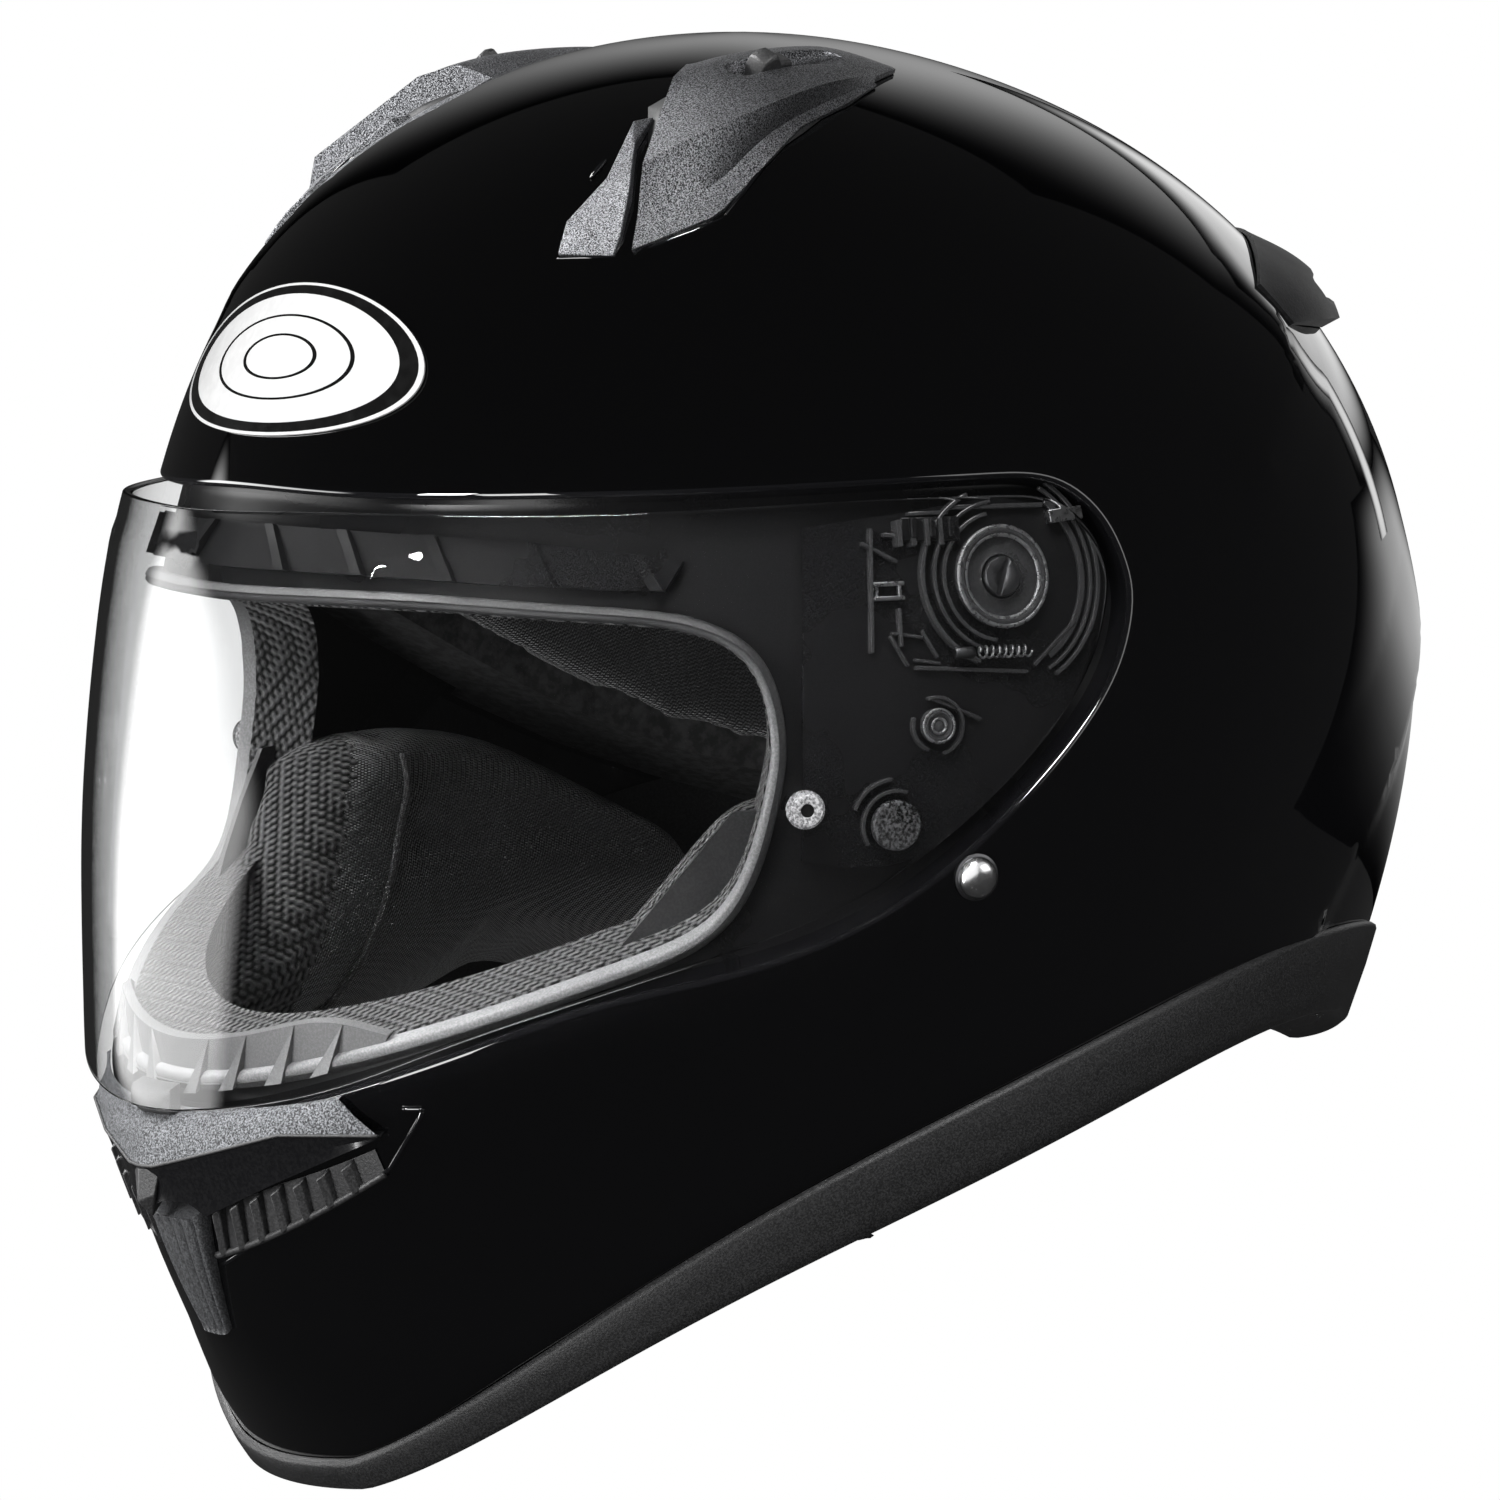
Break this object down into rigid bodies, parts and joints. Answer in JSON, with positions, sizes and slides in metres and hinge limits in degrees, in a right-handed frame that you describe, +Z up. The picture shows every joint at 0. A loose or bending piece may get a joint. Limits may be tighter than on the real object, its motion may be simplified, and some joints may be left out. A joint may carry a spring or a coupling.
{
  "type": "motorcycle helmet",
  "caption": "Full-face motorcycle helmet with a hinged clear visor, sliding forehead vents, chin vent, padded lining and a fastened chin strap.",
  "frame": {"origin": "middle of the bounding box on the ground plane the helmet stands on", "axes": "+Z up, -Y the way the wearer faces, +X the wearer's left; the visor hinge runs along X"},
  "size_m": [0.255, 0.3266, 0.263],
  "materials": {
    "outer_shell": "high gloss black lacquer",
    "crown_foam": "expanded foam, matte",
    "chin_foam": "expanded foam, matte",
    "crown_liner": "brushed knit",
    "neck_roll": "knit with smooth edge",
    "bottom_trim": "fine grain, satin",
    "port_gasket": "moulded rubber",
    "brow_vent_strip": "matte",
    "chin_vent_strip": "matte",
    "visor": "clear polycarbonate",
    "visor_tab": "matte",
    "chin_vent_cover": "fine metallic grain",
    "chin_vent_nose": "matte",
    "rear_vent_cover": "matte",
    "front_badge": "printed film",
    "strap": "woven webbing",
    "strap_ring_upper": "polished",
    "strap_ring_lower": "polished",
    "cheek_pad": "brushed knit and coarse mesh",
    "cheek_plate": "matte",
    "fog_insert_pin": "clear, polished",
    "base_plate": "matte",
    "pivot_hub": "satin",
    "pivot_screw": "dark",
    "release_lever": "matte",
    "lever_spring": "wire",
    "lever_plunger": "turned",
    "plate_snap": "clear, polished",
    "visor_stop_pad": "textured",
    "forehead_vent_cover": "fine metallic grain",
    "forehead_vent_scoop": "fine grain",
    "vent_slider": "satin",
    "chin_vent_grille": "matte",
    "strap_rivet": "polished",
    "strap_anchor": "plated"
  },
  "bodies": {
    "helmet": {"base_plate_left": "base_plate", "base_plate_right": "base_plate", "bottom_trim": "bottom_trim", "brow_vent_strip": "brow_vent_strip", "cheek_pad_left": "cheek_pad", "cheek_pad_right": "cheek_pad", "cheek_plate_left": "cheek_plate", "cheek_plate_right": "cheek_plate", "chin_foam": "chin_foam", "chin_vent_cover": "chin_vent_cover", "chin_vent_grille_left": "chin_vent_grille", "chin_vent_grille_right": "chin_vent_grille", "chin_vent_nose": "chin_vent_nose", "chin_vent_strip": "chin_vent_strip", "crown_foam": "crown_foam", "crown_liner": "crown_liner", "forehead_vent_cover_left": "forehead_vent_cover", "forehead_vent_cover_right": "forehead_vent_cover", "forehead_vent_scoop_left": "forehead_vent_scoop", "forehead_vent_scoop_right": "forehead_vent_scoop", "front_badge": "front_badge", "lever_spring_left": "lever_spring", "lever_spring_right": "lever_spring", "neck_roll": "neck_roll", "outer_shell": "outer_shell", "pivot_hub_left": "pivot_hub", "pivot_hub_right": "pivot_hub", "pivot_screw_left": "pivot_screw", "pivot_screw_right": "pivot_screw", "plate_snap_left": "plate_snap", "plate_snap_right": "plate_snap", "port_gasket": "port_gasket", "rear_vent_cover": "rear_vent_cover", "strap_anchor_left": "strap_anchor", "strap_anchor_right": "strap_anchor", "strap_left": "strap", "strap_right": "strap", "strap_rivet_left": "strap_rivet", "strap_rivet_right": "strap_rivet", "visor_stop_pad_left": "visor_stop_pad", "visor_stop_pad_right": "visor_stop_pad"},
    "visor_body": {"visor": "visor", "visor_tab": "visor_tab", "fog_insert_pin_left": "fog_insert_pin", "fog_insert_pin_right": "fog_insert_pin"},
    "lever_left": {"release_lever_left": "release_lever", "lever_plunger_left": "lever_plunger"},
    "lever_right": {"release_lever_right": "release_lever", "lever_plunger_right": "lever_plunger"},
    "slider_left": {"vent_slider_left": "vent_slider"},
    "slider_right": {"vent_slider_right": "vent_slider"},
    "ring_upper": {"strap_ring_upper": "strap_ring_upper"},
    "ring_lower": {"strap_ring_lower": "strap_ring_lower"}
  },
  "joints": [
    {"name": "visor_hinge", "type": "hinge", "parent": "helmet", "child": "visor_body", "pos_m": [0, 0.00433, 0.1539], "axis": [-1, 0, 0], "range_deg": [0, 50]},
    {"name": "lever_slide_left", "type": "slide", "parent": "helmet", "child": "lever_left", "axis": [-0.1759, -0.9335, 0.3124], "range_m": [0, 0.004], "stiffness_N_per_m": 300},
    {"name": "lever_slide_right", "type": "slide", "parent": "helmet", "child": "lever_right", "axis": [0.1759, -0.9335, 0.3124], "range_m": [0, 0.004], "stiffness_N_per_m": 300},
    {"name": "vent_slide_left", "type": "slide", "parent": "helmet", "child": "slider_left", "axis": [-0.0697, 0.9903, -0.12], "range_m": [0, 0.01]},
    {"name": "vent_slide_right", "type": "slide", "parent": "helmet", "child": "slider_right", "axis": [0.0697, 0.9903, -0.12], "range_m": [0, 0.01]},
    {"name": "ring_hinge_upper", "type": "hinge", "parent": "helmet", "child": "ring_upper", "pos_m": [0.056, -0.04673, 0.02651], "axis": [0, 0.9483, -0.3173], "range_deg": [-4, 1]},
    {"name": "ring_hinge_lower", "type": "hinge", "parent": "helmet", "child": "ring_lower", "pos_m": [0.056, -0.048, 0.02272], "axis": [0, 0.9483, -0.3173], "range_deg": [-4, 4]}
  ]
}
